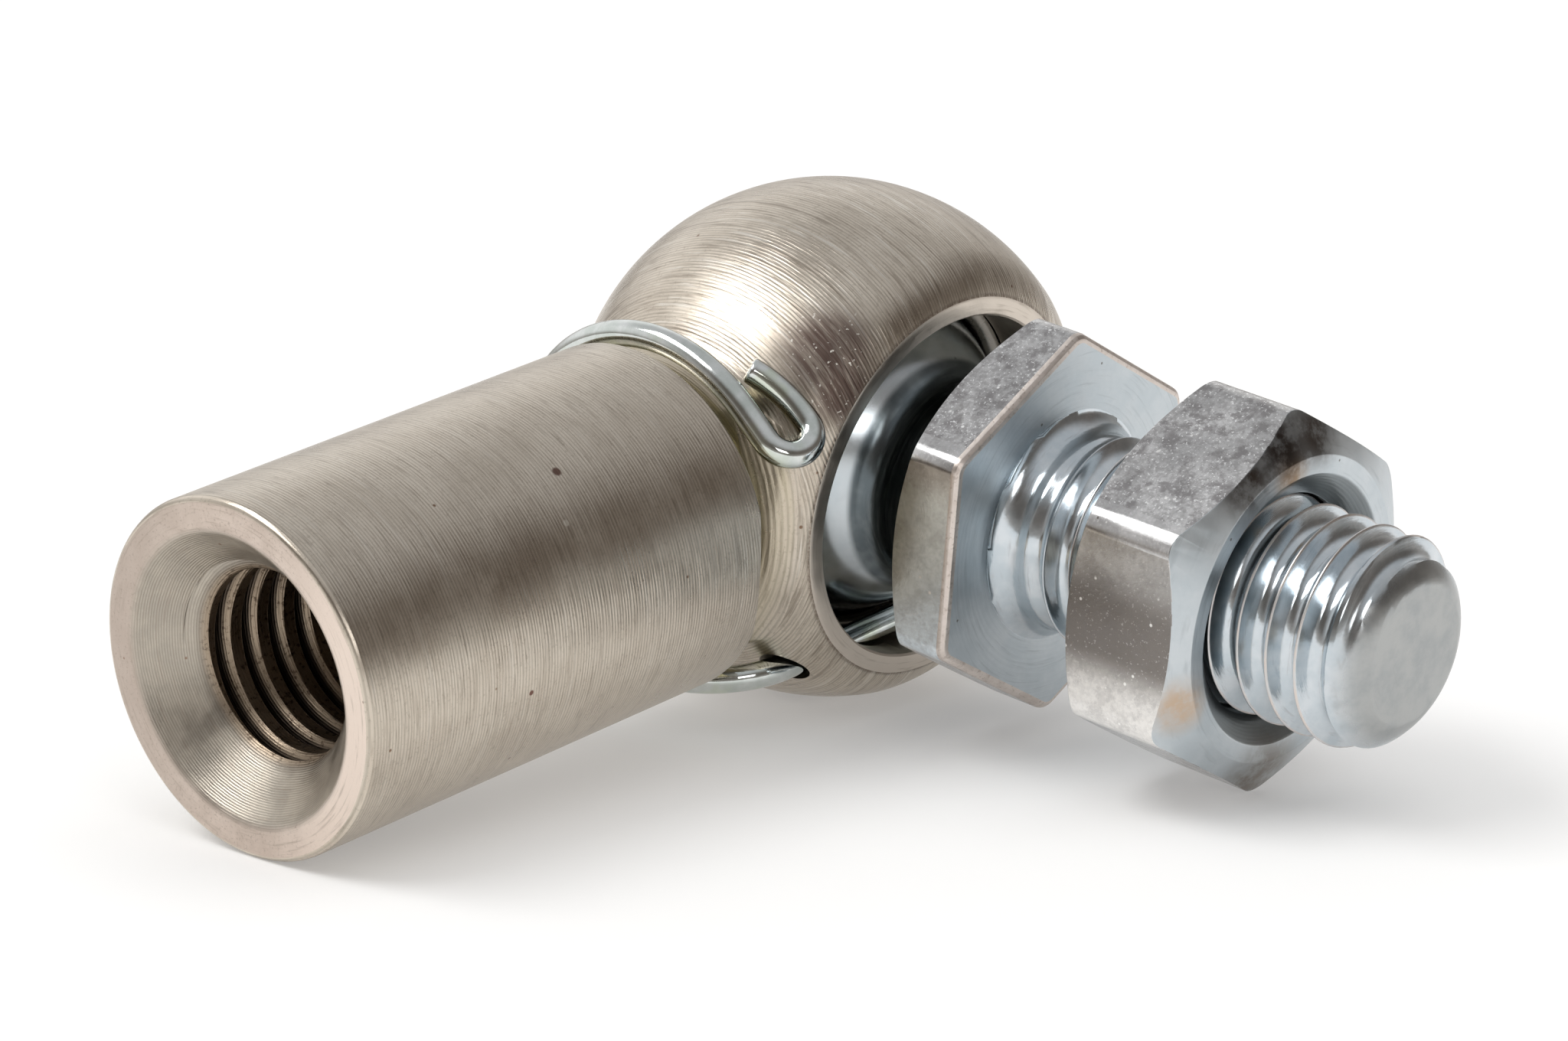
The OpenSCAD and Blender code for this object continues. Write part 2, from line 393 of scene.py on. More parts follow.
class Finish(Nodes):
    """A metal finish in the making, with patterns in millimetres on a piece's own axes"""

    def __init__(self, name, axes):
        self.made = bpy.data.materials.new(name)
        self.made.use_nodes = True
        super().__init__(self.made.node_tree)
        self.shader = self.tree.nodes["Principled BSDF"]
        where = LAY @ axes
        spot = self.add("ShaderNodeTexCoord")
        self.at = self.add("ShaderNodeMapping", vector_type="TEXTURE")
        self.at.inputs["Location"].default_value = where.translation
        self.at.inputs["Rotation"].default_value = where.to_euler()
        self.at.inputs["Scale"].default_value = (MM, MM, MM)
        self.join(spot.outputs["Object"], self.at.inputs["Vector"])
        self.place = self.at.outputs["Vector"]
        parts = self.add("ShaderNodeSeparateXYZ")
        self.join(self.place, parts.inputs[0])
        self.x, self.y, self.z = parts.outputs

    def radius(self):
        flat = self.sum("ADD", self.sum("MULTIPLY", self.x, self.x), self.sum("MULTIPLY", self.y, self.y))
        return self.sum("SQRT", flat)

    def strip(self, along):
        """Place for marks that run round the piece's axis: long round it, short across"""
        return self.vector(self.both(self.x, 0.06), self.both(self.y, 0.06), along)

    def feed(self, along, step, waver):
        """Regular lines that a lathe tool leaves, with a slight waver"""
        return self.sum("SINE", self.sum("MULTIPLY_ADD", along, math.tau / step, self.both(waver, 5.0)))

    def specks(self, scale, size, share):
        """Small round specks in a share of the cells of a scattered pattern"""
        node = self.add("ShaderNodeTexVoronoi")
        self.join(self.place, node.inputs["Vector"])
        node.inputs["Scale"].default_value = scale
        dot = self.range(node.outputs["Distance"], size * scale * 0.5, size * scale, 1.0, 0.0)
        return self.both(dot, self.sum("LESS_THAN", node.outputs["Color"], share))

    def scratch(self, one, two, width):
        """1 on a straight scratch between two places, 0 beside it"""
        start, run = Vector(one), Vector(two) - Vector(one)
        off = self.add("ShaderNodeVectorMath", operation="SUBTRACT")
        self.join(self.place, off.inputs[0])
        off.inputs[1].default_value = start
        dot = self.add("ShaderNodeVectorMath", operation="DOT_PRODUCT")
        self.join(off.outputs[0], dot.inputs[0])
        dot.inputs[1].default_value = run / run.length_squared
        share = self.range(dot.outputs["Value"], 0.0, 1.0)
        near = self.add("ShaderNodeVectorMath", operation="SCALE")
        near.inputs[0].default_value = run
        self.join(share, near.inputs["Scale"])
        gap = self.add("ShaderNodeVectorMath", operation="DISTANCE")
        self.join(off.outputs[0], gap.inputs[0])
        self.join(near.outputs[0], gap.inputs[1])
        return self.range(gap.outputs["Value"], width * 0.5, width, 1.0, 0.0)

    def bump(self, height, microns, before=None):
        node = self.add("ShaderNodeBump")
        node.inputs["Distance"].default_value = microns * 1e-6
        self.join(height, node.inputs["Height"])
        if before:
            self.join(before, node.inputs["Normal"])
        return node.outputs[0]

    def spot(self, x, y, z, size, soft=0.3):
        """1 inside a small round mark, 0 outside it"""
        node = self.add("ShaderNodeVectorMath", operation="DISTANCE")
        self.join(self.place, node.inputs[0])
        node.inputs[1].default_value = (x, y, z)
        return self.range(node.outputs["Value"], size * (1 - soft), size * (1 + soft), 1.0, 0.0)

    def done(self, colour, rough, normal):
        self.join(colour, self.shader.inputs["Base Color"])
        self.join(rough, self.shader.inputs["Roughness"])
        self.join(normal, self.shader.inputs["Normal"])
        self.shader.inputs["Metallic"].default_value = 1.0
        return self.made


def colour(r, g, b):
    return (r, g, b, 1.0)


def turned_zinc():
    """Outside of the socket: feed lines and scratches round the shank's axis, small stains and pits"""
    f = Finish("turned_zinc", TO_SHANK)
    past_neck = f.sum("GREATER_THAN", f.z, 7.6)
    round_head = f.both(f.sum("ARCTAN2", f.z, f.radius()), HEAD_R)
    along = f.pick(past_neck, round_head, f.z)
    strip = f.strip(along)
    scratches = f.noise(strip, 11.0, 2.0, 0.6)
    gouges = f.noise(strip, 4.4, 3.0, 0.7)
    bands = f.noise(strip, 1.6, 2.0, 0.5)
    cloud = f.noise(f.place, 0.45, 4.0, 0.6)
    grain = f.noise(f.place, 8.0, 2.0, 0.6)
    feed = f.feed(along, 0.14, bands)
    on_head = f.pick(past_neck, 1.0, 0.3)
    tint = f.blend(f.range(cloud, 0.35, 0.68), colour(0.595, 0.525, 0.44), colour(0.685, 0.615, 0.525))
    tint = f.blend(f.range(grain, 0.44, 0.30, 0.0, 0.4), tint, colour(0.36, 0.31, 0.25))
    tint = f.blend(f.range(scratches, 0.52, 0.72, 0.0, 0.6), tint, colour(0.34, 0.29, 0.235))
    tint = f.blend(f.range(feed, -0.2, 1.0, 0.0, 0.42), tint, colour(0.30, 0.27, 0.22))
    tint = f.blend(f.both(on_head, f.range(gouges, 0.55, 0.68, 0.0, 0.6)), tint, colour(0.26, 0.215, 0.17))
    tint = f.blend(f.both(on_head, f.range(gouges, 0.43, 0.33, 0.0, 0.6)), tint, colour(0.80, 0.755, 0.68))
    in_neck = f.both(f.range(f.z, 7.7, 8.3), f.range(f.z, 10.4, 9.7))
    yellow = f.both(in_neck, f.range(bands, 0.4, 0.6, 0.2, 0.9))
    tint = f.blend(yellow, tint, colour(0.60, 0.53, 0.31))
    scuff = f.sum("MAXIMUM", f.spot(6.5, -4.4, 5.5, 1.6, 0.5), f.spot(5.5, -5.5, 5.7, 1.3, 0.5))
    torn = f.both(scuff, f.range(f.noise(strip, 5.0, 4.0, 0.75), 0.34, 0.56, 0.45, 1.0))
    tint = f.blend(torn, tint, colour(0.14, 0.10, 0.085))
    glints = f.both(scuff, f.range(f.noise(f.place, 6.0, 3.0), 0.66, 0.70))
    tint = f.blend(glints, tint, colour(0.86, 0.83, 0.76))
    tint = f.blend(f.specks(0.9, 0.09, 0.3), tint, colour(0.24, 0.16, 0.11))
    from_mouth = f.sum("SQRT", f.sum("ADD", f.both(f.x, f.x), f.both(f.z, f.z)))
    lip = f.both(f.range(from_mouth, RIM_R + 0.26, RIM_R + 0.12), f.sum("LESS_THAN", f.y, -4.5))
    tint = f.blend(f.both(lip, f.range(grain, 0.35, 0.6, 0.35, 0.9)), tint, colour(0.22, 0.175, 0.14))
    for x, y, z, size, shade in (
        (5.49, -3.47, 18.4, 0.17, colour(0.16, 0.10, 0.08)),
        (4.32, -4.85, 19.29, 0.12, colour(0.80, 0.75, 0.66)),
        (-0.53, -6.48, 22.34, 0.10, colour(0.18, 0.09, 0.07)),
    ):
        tint = f.blend(f.spot(x, y, z, size), tint, shade)
    normal = f.bump(scratches, 11.0)
    normal = f.bump(f.both(on_head, gouges), 22.0, normal)
    normal = f.bump(feed, 2.2, normal)
    rough = f.sum("ADD", f.range(cloud, 0.3, 0.7, 0.26, 0.35), f.both(torn, 0.15))
    return f.done(tint, rough, normal)


def faced_zinc():
    """End face of the shank with its countersink and thread"""
    f = Finish("faced_zinc", TO_SHANK)
    wide = f.radius()
    along = f.sum("ADD", wide, f.z)
    rings = f.noise(f.strip(along), 9.0, 3.0, 0.65)
    cloud = f.noise(f.place, 0.9, 4.0, 0.65)
    grain = f.noise(f.place, 9.0, 2.0, 0.6)
    feed = f.feed(along, 0.13, cloud)
    in_sink = f.range(wide, SINK_R + 0.15, SINK_R - 0.2)
    face = f.blend(f.range(cloud, 0.35, 0.68), colour(0.56, 0.47, 0.405), colour(0.655, 0.56, 0.49))
    face = f.blend(f.range(grain, 0.45, 0.3, 0.0, 0.5), face, colour(0.33, 0.265, 0.22))
    # Painted reflection: the end face is painted paler towards -y and darker towards +y, standing in for the
    # lighter and darker room it reflects
    face = f.blend(f.range(f.y, -1.0, -5.5, 0.0, 0.8), face, colour(0.84, 0.72, 0.63))
    face = f.blend(f.range(f.y, 1.0, 5.5, 0.0, 0.45), face, colour(0.38, 0.32, 0.275))
    sink = f.blend(f.range(cloud, 0.35, 0.68), colour(0.42, 0.38, 0.325), colour(0.52, 0.47, 0.40))
    sink = f.blend(f.range(feed, -0.3, 1.0, 0.0, 0.5), sink, colour(0.27, 0.24, 0.20))
    tint = f.blend(in_sink, face, sink)
    tint = f.blend(f.range(rings, 0.52, 0.72, 0.0, 0.45), tint, colour(0.34, 0.28, 0.23))
    tint = f.blend(f.specks(1.3, 0.08, 0.3), tint, colour(0.28, 0.19, 0.14))
    # Painted shade in the tapped hole: below the countersink the thread is painted darker than the face,
    # with a dark mottle, and near-black towards the thread's roots
    pits = f.range(f.noise(f.place, 4.5, 3.0, 0.7), 0.52, 0.66, 0.0, 0.85)
    crest = f.blend(pits, colour(0.37, 0.295, 0.22), colour(0.12, 0.085, 0.06))
    shaded_hole = f.blend(f.range(wide, PILOT_R + 0.12, PILOT_R + 0.3), crest, colour(0.115, 0.09, 0.07))
    tint = f.blend(f.range(f.z, 28.5, 28.1), tint, shaded_hole)
    normal = f.bump(rings, 9.0)
    normal = f.bump(grain, 3.0, normal)
    normal = f.bump(f.both(feed, in_sink), 2.4, normal)
    return f.done(tint, f.range(cloud, 0.3, 0.7, 0.33, 0.44), normal)


def bored_zinc():
    """Mouth of the socket: seat, groove and rim"""
    f = Finish("bored_zinc", TO_MOUTH)
    along = f.sum("ADD", f.radius(), f.z)
    rings = f.noise(f.strip(along), 9.0, 2.0, 0.6)
    cloud = f.noise(f.place, 0.9, 4.0, 0.65)
    tint = f.blend(f.range(cloud, 0.35, 0.68), colour(0.40, 0.36, 0.30), colour(0.54, 0.50, 0.43))
    rim = f.range(f.z, MOUTH_OUT - 0.12, MOUTH_OUT - 0.04)
    tint = f.blend(rim, tint, f.blend(cloud, colour(0.62, 0.55, 0.475), colour(0.74, 0.67, 0.59)))
    tint = f.blend(f.range(rings, 0.55, 0.75, 0.0, 0.5), tint, colour(0.34, 0.29, 0.23))
    normal = f.bump(rings, 6.0)
    normal = f.bump(f.noise(f.place, 6.0, 3.0, 0.6), 5.0, normal)
    return f.done(tint, f.range(cloud, 0.3, 0.7, 0.30, 0.42), normal)


def bright_zinc(name, stains=(), shade_span=None, shade_inside_r=None):
    """Turned and polished faces: ball, waist, hexagon faces, chamfers and countersinks"""
    f = Finish(name, TO_STUD)
    along = f.sum("ADD", f.radius(), f.z)
    rings = f.noise(f.strip(along), 8.0, 3.0, 0.6)
    cloud = f.noise(f.place, 0.5, 4.0, 0.6)
    tint = f.blend(f.range(cloud, 0.35, 0.68), colour(0.52, 0.57, 0.60), colour(0.62, 0.66, 0.685))
    tint = f.blend(f.range(rings, 0.53, 0.72, 0.0, 0.42), tint, colour(0.36, 0.40, 0.42))
    tint = f.blend(f.specks(1.2, 0.07, 0.28), tint, colour(0.22, 0.22, 0.21))
    # Painted shade: between the two given heights along the stud, the top of the ball and the waist up to
    # the hexagon, the colour is painted near-black
    if shade_span:
        low, high = shade_span
        painted_waist_shade = f.both(f.range(f.z, low, low + 0.2), f.range(f.z, high + 0.1, high))
        shade = f.blend(f.range(rings, 0.45, 0.7), colour(0.085, 0.105, 0.115), colour(0.20, 0.23, 0.24))
        tint = f.blend(f.both(painted_waist_shade, 0.92), tint, shade)
    # Painted shade in the countersink and bore: darker inside the given radius
    if shade_inside_r:
        tint = f.blend(f.range(f.radius(), shade_inside_r, shade_inside_r - 0.1, 0.0, 0.7), tint, colour(0.19, 0.21, 0.215))
    # Ragged round patches that darken or tint the colour; on the nut they hold real stains and also painted
    # dark reflection
    for x, y, z, size, shade in stains:
        ragged = f.range(f.noise(f.place, 1.6, 4.0, 0.65), 0.35, 0.6, 0.6, 1.0)
        tint = f.blend(f.both(f.spot(x, y, z, size, 0.7), ragged), tint, shade)
    normal = f.bump(rings, 5.0)
    normal = f.bump(f.feed(along, 0.21, cloud), 0.7, normal)
    rough = f.sum("ADD", f.range(cloud, 0.3, 0.7, 0.17, 0.27), f.range(f.z, 8.6, 9.0, 0.0, 0.13))
    return f.done(tint, rough, normal)


def grainy_zinc(name, scratches, pale_reflection_from, pale_reflection_tint, dark_reflection_share=0.0):
    """Flats of the hexagons: dented, mottled drawn bar with bright nicks, and on one flat a painted
    reflection, pale below and with a dark band above
    """
    f = Finish(name, TO_STUD)
    grain = f.noise(f.place, 10.0, 2.0, 0.6)
    dents = f.noise(f.place, 5.0, 3.0, 0.65)
    blotch = f.noise(f.place, 1.5, 5.0, 0.7)
    cloud = f.noise(f.place, 0.6, 4.0, 0.6)
    tint = f.blend(f.range(cloud, 0.35, 0.68), colour(0.55, 0.545, 0.54), colour(0.68, 0.675, 0.67))
    left = f.sum("LESS_THAN", f.x, -5.6)
    rough_flat = f.pick(left, 1.0, 0.3)
    # Painted reflection on the left flat: paler towards -y, standing in for the floor seen in it, and where
    # a share is given, a dark band above that for the shank seen in it
    pale = f.both(left, f.range(f.y, pale_reflection_from, pale_reflection_from - 1.6, 0.0, 0.9))
    dark_reflection = f.both(f.both(left, dark_reflection_share), f.range(f.y, 2.6, 0.6))
    tint = f.blend(dark_reflection, tint, colour(0.17, 0.145, 0.125))
    tint = f.blend(pale, tint, pale_reflection_tint)
    for pattern, shade in (
        (f.range(blotch, 0.47, 0.62, 0.0, 0.75), colour(0.25, 0.235, 0.235)),
        (f.range(dents, 0.60, 0.36, 0.0, 0.5), colour(0.30, 0.29, 0.285)),
        (f.range(grain, 0.62, 0.68, 0.0, 0.95), colour(0.97, 0.97, 0.96)),
    ):
        tint = f.blend(f.both(rough_flat, pattern), tint, shade)
    tint = f.blend(f.specks(2.0, 0.08, 0.4), tint, colour(0.98, 0.97, 0.95))
    tint = f.blend(f.specks(1.4, 0.06, 0.25), tint, colour(0.20, 0.18, 0.16))
    for one, two, width in scratches:
        ragged = f.range(f.noise(f.place, 5.0, 2.0), 0.35, 0.55, 0.1, 0.9)
        tint = f.blend(f.both(f.scratch(one, two, width), ragged), tint, colour(0.93, 0.92, 0.90))
    normal = f.bump(f.both(rough_flat, dents), 6.0)
    normal = f.bump(grain, 1.2, normal)
    return f.done(tint, f.range(cloud, 0.3, 0.7, 0.17, 0.26), normal)


def worn_zinc(name):
    """Edges of the hexagons, worn matt and pale"""
    f = Finish(name, TO_STUD)
    cloud = f.noise(f.place, 1.2, 4.0, 0.65)
    grain = f.noise(f.place, 7.0, 2.0, 0.6)
    tint = f.blend(f.range(cloud, 0.35, 0.68), colour(0.62, 0.55, 0.50), colour(0.74, 0.67, 0.62))
    tint = f.blend(f.range(grain, 0.45, 0.3, 0.0, 0.6), tint, colour(0.42, 0.35, 0.30))
    return f.done(tint, f.range(cloud, 0.3, 0.7, 0.32, 0.44), f.bump(grain, 5.0))


def rolled_zinc():
    """Rolled thread of the stud and its end"""
    f = Finish("rolled_zinc", TO_STUD)
    wide = f.radius()
    cloud = f.noise(f.place, 0.8, 4.0, 0.6)
    marks = f.noise(f.strip(f.sum("ADD", wide, f.z)), 10.0, 3.0, 0.65)
    tint = f.blend(f.range(cloud, 0.35, 0.68), colour(0.55, 0.61, 0.65), colour(0.67, 0.71, 0.74))
    tint = f.blend(f.range(marks, 0.56, 0.72, 0.0, 0.4), tint, colour(0.36, 0.36, 0.37))
    past_root = f.range(f.z, HEX_FACE + PLAIN_ROOT, HEX_FACE + PLAIN_ROOT + 0.6)
    crest = f.both(f.range(wide, THREAD_R - 0.13, THREAD_R - 0.07), past_root)
    tint = f.blend(f.both(crest, f.range(marks, 0.35, 0.6, 0.9, 0.4)), tint, colour(0.74, 0.655, 0.60))
    end = f.range(f.z, STUD_END - 1.1, STUD_END - 0.1)
    dull = f.blend(f.range(cloud, 0.35, 0.68), colour(0.33, 0.34, 0.34), colour(0.41, 0.415, 0.405))
    tint = f.blend(f.both(end, 0.9), tint, dull)
    normal = f.bump(marks, 4.0)
    normal = f.bump(f.noise(f.place, 5.0, 2.0), 2.0, normal)
    rough = f.sum("ADD", f.range(cloud, 0.3, 0.7, 0.12, 0.19), f.both(f.sum("MAXIMUM", crest, end), 0.16))
    return f.done(tint, rough, normal)


def wire_zinc():
    """Drawn wire of the clip, brightly plated"""
    f = Finish("wire_zinc", TO_SHANK)
    cloud = f.noise(f.place, 0.9, 4.0, 0.6)
    tint = f.blend(f.range(cloud, 0.35, 0.68), colour(0.56, 0.60, 0.57), colour(0.72, 0.74, 0.73))
    tint = f.blend(f.range(f.noise(f.place, 0.7, 2.0), 0.52, 0.66, 0.0, 0.6), tint, colour(0.60, 0.66, 0.53))
    tint = f.blend(f.specks(1.8, 0.06, 0.3), tint, colour(0.25, 0.24, 0.22))
    normal = f.bump(f.noise(f.place, 4.0, 2.0), 2.5)
    return f.done(tint, f.range(cloud, 0.3, 0.7, 0.07, 0.12), normal)


def ring_steel():
    """Spring wire of the ring, blued and oiled"""
    f = Finish("ring_steel", TO_MOUTH)
    cloud = f.noise(f.place, 0.9, 4.0, 0.6)
    tint = f.blend(f.range(cloud, 0.35, 0.68), colour(0.30, 0.28, 0.25), colour(0.42, 0.39, 0.35))
    return f.done(tint, f.range(cloud, 0.3, 0.7, 0.22, 0.32), f.bump(f.noise(f.place, 5.0, 2.0), 3.0))


# Pieces

def rim_outline():
    """All in front of the flat rim and of the curve by which the round head runs in to it"""
    reach = math.hypot(RIM_R, MOUTH_OUT)
    inner = HEAD_R - RIM_BLEND
    opening = math.acos((reach ** 2 + inner ** 2 - RIM_BLEND ** 2) / (2 * reach * inner))
    lean = math.atan2(MOUTH_OUT, RIM_R) - opening
    middle = Vector((inner * math.cos(lean), inner * math.sin(lean)))
    start = math.degrees(math.atan2(MOUTH_OUT - middle.y, RIM_R - middle.x)) - 2
    stop = math.degrees(lean) + 8
    first, last = math.radians(start), math.radians(stop)
    outline = Outline(0, MOUTH_OUT).line(RIM_R - 0.05, MOUTH_OUT)
    outline.line(middle.x + RIM_BLEND * math.cos(first), middle.y + RIM_BLEND * math.sin(first))
    outline.arc(middle.x, middle.y, stop - start, 16)
    edge = outline.tip.co.copy()
    outline.line(edge.x + RIM_BLEND * math.sin(last), edge.z - RIM_BLEND * math.cos(last))
    return outline.line(HEAD_R + 2, HEAD_R + 1).line(0, HEAD_R + 1)


def make_socket():
    finishes = [turned_zinc(), faced_zinc(), bored_zinc()]
    fillet_up = math.sqrt((HEAD_R + NECK_FILLET) ** 2 - (NECK_R + NECK_FILLET) ** 2)
    fillet_at = math.degrees(math.atan2(fillet_up, NECK_R + NECK_FILLET))
    outline = Outline(0, -HEAD_R)
    outline.arc(0, 0, 90 + fillet_at, 72)
    outline.arc(NECK_R + NECK_FILLET, fillet_up, -fillet_at, 12)
    outline.line(NECK_R, SHANK_START - SHOULDER_FILLET)
    outline.arc(NECK_R + SHOULDER_FILLET, SHANK_START - SHOULDER_FILLET, -90, 10)
    outline.line(SHANK_R - SHOULDER_EDGE, SHANK_START)
    outline.arc(SHANK_R - SHOULDER_EDGE, SHANK_START + SHOULDER_EDGE, 90, 4)
    outline.line(SHANK_R, SHANK_END - SHANK_EDGE)
    outline.arc(SHANK_R - SHANK_EDGE, SHANK_END - SHANK_EDGE, 90, 6)
    outline.line(SINK_R + SINK_EDGE, SHANK_END)
    outline.arc(SINK_R + SINK_EDGE, SHANK_END - SINK_EDGE_R, 45, 6)
    outline.line(PILOT_R, SHANK_END - SINK_R + PILOT_R)
    outline.line(PILOT_R, TAP_END - TAP_SPARE)
    outline.line(0, TAP_END - TAP_SPARE - PILOT_R / math.tan(DRILL_POINT))
    body = outline.spun()
    for face in body.faces:
        middle = face.calc_center_median()
        in_hole = math.hypot(middle.x, middle.y) < 5.5 and middle.z > 10.2
        face.material_index = 1 if in_hole or middle.z > SHANK_END - 0.02 else 0
    body.transform(TO_SHANK)

    rim_cut = rim_outline().spun()
    for face in rim_cut.faces:
        face.material_index = 2 if face.calc_center_median().z > MOUTH_OUT - 0.06 else 0
    rim_cut.transform(TO_MOUTH)

    seat = Outline(0, -HOLLOW_R).arc(0, 0, 90, 40)
    seat.line(HOLLOW_R, RING_OUT - GROOVE_HALF).line(GROOVE_R, RING_OUT - GROOVE_HALF)
    seat.line(GROOVE_R, RING_OUT + GROOVE_HALF).line(HOLLOW_R, RING_OUT + GROOVE_HALF)
    seat.line(HOLLOW_R, MOUTH_OUT - SEAT_EDGE).line(HOLLOW_R + 1 + SEAT_EDGE, MOUTH_OUT + 1)
    seat.line(0, MOUTH_OUT + 1)
    hollow = finish_index(seat.spun(), 2)
    hollow.transform(TO_MOUTH)

    tap = finish_index(helix(THREAD_R, PILOT_R - 0.06, TAP_END, SHANK_END + 0.6), 1)
    tap.transform(TO_SHANK)

    long = HEAD_R + BOW_AT
    hole_at = Matrix.Translation((HEAD_R - long / 2, -LEG_OUT, -LEG_DOWN)) @ TO_SHANK
    clip_hole = finish_index(drill(CLIP_HOLE_R, long, hole_at), 2)
    cuts = [("DIFFERENCE", tool) for tool in (rim_cut, hollow, tap, clip_hole)]
    bm = carve(body, cuts, finishes)
    return piece("ball_socket_turned", bm, finishes, "socket", "ball_socket")


def stud_radius(wide, height):
    """Plain root that flares out to the hexagon, thread that grows out of it, and the rounded end"""
    above = height - HEX_FACE
    grown = min(1.0, max(0.0, (above - PLAIN_ROOT) / THREAD_GROWS))
    wide = ROOT_R + (wide - ROOT_R) * grown
    under = min(0.9 * ROOT_FILLET - above, 0.95 * ROOT_FILLET)
    if under > 0:
        wide = max(wide, ROOT_R + ROOT_FILLET - math.sqrt(ROOT_FILLET ** 2 - under ** 2))
    into_end = (height - STUD_END) / END_ROUND + 1
    if into_end > 0:
        rounded = max(0.0, 1 - into_end ** 1.4) ** 0.72
        wide = min(wide, THREAD_R - END_ROUND + END_ROUND * rounded)
    return wide


def make_stud():
    finishes = [
        # painted shade over the waist and the top of the ball
        bright_zinc("bright_stud", shade_span=(4.72, 8.55)),
        # painted pale reflection on the left flat, below y 3.2
        grainy_zinc("grainy_stud_flats", [], 3.2, colour(0.84, 0.92, 0.97)),
        rolled_zinc(),
        worn_zinc("worn_stud_edges"),
    ]
    fillet_up = math.sqrt((BALL_R + BALL_FILLET) ** 2 - (WAIST_R + BALL_FILLET) ** 2)
    fillet_at = math.degrees(math.atan2(fillet_up, WAIST_R + BALL_FILLET))
    ball = Outline(0, -BALL_R).arc(0, 0, 90 + fillet_at, 64)
    ball.arc(WAIST_R + BALL_FILLET, fillet_up, -fillet_at, 16)
    ball.line(WAIST_R, HEX_BACK - WAIST_FILLET)
    ball.arc(WAIST_R + WAIST_FILLET, HEX_BACK - WAIST_FILLET, -90, 8)
    ball.line(WAIST_R + WAIST_FILLET, HEX_BACK + 0.5).line(0, HEX_BACK + 0.5)
    body = finish_index(ball.spun(128), 0)

    bar = hexagon(HEX_BACK, HEX_FACE, STUD_CORNER, STUD_EDGE)
    for face in bar.faces:
        lean = abs(face.normal.z)
        face.material_index = 0 if lean > 0.97 else 3 if lean > 0.03 else 1
    spare = CORNER_R + 1
    chamfer_up = (spare - HEX_AF / 2) * CHAMFER_SLOPE
    turned = Outline(0, HEX_BACK).line(HEX_AF / 2, HEX_BACK).line(spare, HEX_BACK + chamfer_up)
    turned.line(spare, HEX_FACE + 1).line(0, HEX_FACE + 1)
    envelope = finish_index(turned.spun(96), 0)
    block = carve(bar, [("INTERSECT", envelope)], finishes)
    ease_edges(block, 24, STUD_EASE)

    shank = helix(THREAD_R - 0.04, THREAD_ROOT, HEX_FACE - 0.3, STUD_END, stud_radius)
    bm = carve(block, [("UNION", body), ("UNION", finish_index(shank, 2))], finishes)
    bm.transform(TO_STUD)
    return piece("ball_stud_turned", bm, finishes, "stud", "ball_stud")


def make_nut():
    # Two brown stains, then three near-black patches towards +y on the chamfer that are painted dark
    # reflection, then a grey-brown patch that darkens the chamfer towards -y
    stains = [
        (-0.9, 5.2, 21.7, 0.7, colour(0.46, 0.33, 0.22)),
        (-5.7, -2.3, 21.5, 0.9, colour(0.56, 0.43, 0.32)),
        (-3.1, 5.4, 21.3, 1.1, colour(0.08, 0.065, 0.055)),
        (-1.1, 6.2, 21.3, 1.2, colour(0.055, 0.045, 0.04)),
        (0.8, 6.3, 21.3, 1.0, colour(0.10, 0.085, 0.075)),
        (-0.6, -6.6, 21.4, 1.7, colour(0.24, 0.21, 0.18)),
    ]
    scratches = [((-4.2, 4.9, 17.0), (-2.3, 6.0, 18.3), 0.07)]
    finishes = [
        # painted shade in the countersink and bore, inside the mouth radius
        bright_zinc("bright_nut", stains, shade_inside_r=NUT_MOUTH_R),
        # painted reflection on the left flat: pale below y -1, with a dark band above
        grainy_zinc("grainy_nut_flats", scratches, -1.0, colour(0.97, 0.95, 0.92), 0.8),
    ]
    bar = hexagon(NUT_BACK, NUT_FACE, NUT_CORNER, 0)
    for face in bar.faces:
        face.material_index = 0 if abs(face.normal.z) > 0.9 else 1
    drop = (CORNER_R + 1 - NUT_FACE_R) * CHAMFER_SLOPE
    round_bar = Outline(0, NUT_BACK).line(NUT_FACE_R, NUT_BACK).line(CORNER_R + 1, NUT_BACK + drop)
    round_bar.line(CORNER_R + 1, NUT_FACE - drop).line(NUT_FACE_R, NUT_FACE).line(0, NUT_FACE)
    envelope = finish_index(round_bar.spun(96), 0)
    sink = (NUT_MOUTH_R - NUT_BORE_R) * 0.8
    bore = Outline(0, NUT_BACK - 1).line(NUT_MOUTH_R, NUT_BACK - 1).line(NUT_MOUTH_R, NUT_BACK)
    bore.line(NUT_BORE_R, NUT_BACK + sink).line(NUT_BORE_R, NUT_FACE - sink).line(NUT_MOUTH_R, NUT_FACE)
    bore.line(NUT_MOUTH_R, NUT_FACE + 1).line(0, NUT_FACE + 1)
    hole = finish_index(bore.spun(96), 0)
    bm = carve(bar, [("INTERSECT", envelope), ("DIFFERENCE", hole)], finishes)
    ease_edges(bm, 14, NUT_EASE)
    bm.transform(TO_STUD)
    return piece("hex_nut_chamfered", bm, finishes, "nut", "hex_nut", sharp=40)


